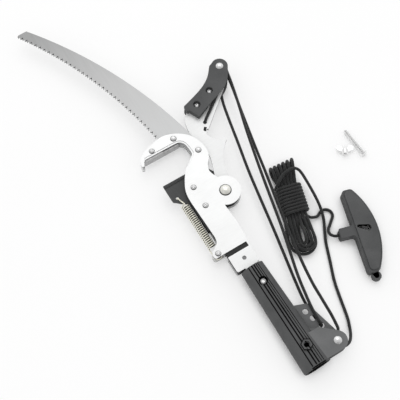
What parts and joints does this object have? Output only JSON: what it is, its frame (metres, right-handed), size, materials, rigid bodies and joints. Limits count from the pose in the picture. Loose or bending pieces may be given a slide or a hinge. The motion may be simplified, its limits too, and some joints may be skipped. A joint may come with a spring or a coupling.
{
  "type": "tree pruner head",
  "caption": "Pole pruner head: hooked steel frame with a sprung rope-pulled cutting lever, curved pruning saw, pulley tackle, pole socket, rope hank and T-shaped pull handle.",
  "frame": {"origin": "centre of the pole socket's mouth, on the socket's axis", "axes": "+Y along the socket's axis from the mouth to the head; +Z out of the face that carries the lip and the recessed screws; the lever and the rope falls are on the +X side"},
  "size_m": [0.3927, 0.7343, 0.0478],
  "materials": {
    "black_plastic": "fine moulded grain",
    "plate_steel": "bright zinc plate",
    "block_steel": "dull steel",
    "saw_steel": "rolled and ground",
    "blade_black": "non-stick coating with a ground edge",
    "zinc": "bright zinc",
    "yellow_zinc": "pale yellow zinc",
    "rope": "braided cord"
  },
  "bodies": {
    "head": {"socket": "black_plastic", "tang_core": "black_plastic", "blade_guide_front": "black_plastic", "blade_guide_back": "black_plastic", "pull_handle": "black_plastic", "handle_eye": "black_plastic", "front_hook_plate": "plate_steel", "back_hook_plate": "plate_steel", "hook_block": "block_steel", "saw_blade": "saw_steel", "beak_rivet": "zinc", "saw_rivet": "zinc", "plate_screws": "zinc", "beak_screw": "zinc", "ear_screw": "zinc", "ear_sleeve": "zinc", "screw_nuts": "zinc", "plate_pin": "zinc", "tang_screw": "zinc", "tang_nut": "zinc", "lower_axle": "zinc", "clamp_bolt": "zinc", "wing_nut": "zinc", "pivot_rivet": "yellow_zinc", "return_spring": "yellow_zinc", "rope_front_fall": "rope", "rope_eye_turn": "rope", "rope_back_fall": "rope", "rope_lead_fall": "rope", "rope_lead": "rope", "rope_hank": "rope", "rope_wraps": "rope", "rope_tail": "rope", "handle_knot": "rope"},
    "lever": {"lever_arm": "plate_steel", "cutting_blade": "blade_black", "blade_rivets": "zinc", "front_cheek": "black_plastic", "back_cheek": "black_plastic", "cheek_screws": "zinc", "cheek_nuts": "zinc", "upper_axle": "zinc", "anchor_knot": "rope", "rope_anchor": "rope", "rope_back_turn": "rope"},
    "front_wheel": {"front_pulley": "black_plastic"},
    "back_wheel": {"back_pulley": "black_plastic"},
    "lower_wheel": {"lower_pulley": "black_plastic"}
  },
  "joints": [
    {"name": "lever_swing", "type": "hinge", "parent": "head", "child": "lever", "pos_m": [0.032, 0.306, 0], "axis": [0, 0, -1], "range_deg": [0, 45], "stiffness_Nm_per_rad": 2, "springref_deg": -17.19, "deforming": ["return_spring", "rope_front_fall", "rope_back_fall", "rope_lead_fall"]},
    {"name": "front_pulley_spin", "type": "hinge", "parent": "lever", "child": "front_wheel", "pos_m": [0.142, 0.5, 0], "axis": [0, 0, -1], "continuous": true},
    {"name": "back_pulley_spin", "type": "hinge", "parent": "lever", "child": "back_wheel", "pos_m": [0.142, 0.5, 0], "axis": [0, 0, -1], "range_deg": [0, 975]},
    {"name": "lower_pulley_spin", "type": "hinge", "parent": "head", "child": "lower_wheel", "pos_m": [0.0455, 0.017, 0], "axis": [0, 0, 1], "range_deg": [0, 1490]}
  ],
  "couplings": [
    {"joint": "back_pulley_spin", "follows": "lever_swing", "ratio": 21.6},
    {"joint": "lower_pulley_spin", "follows": "lever_swing", "ratio": 33.05}
  ]
}
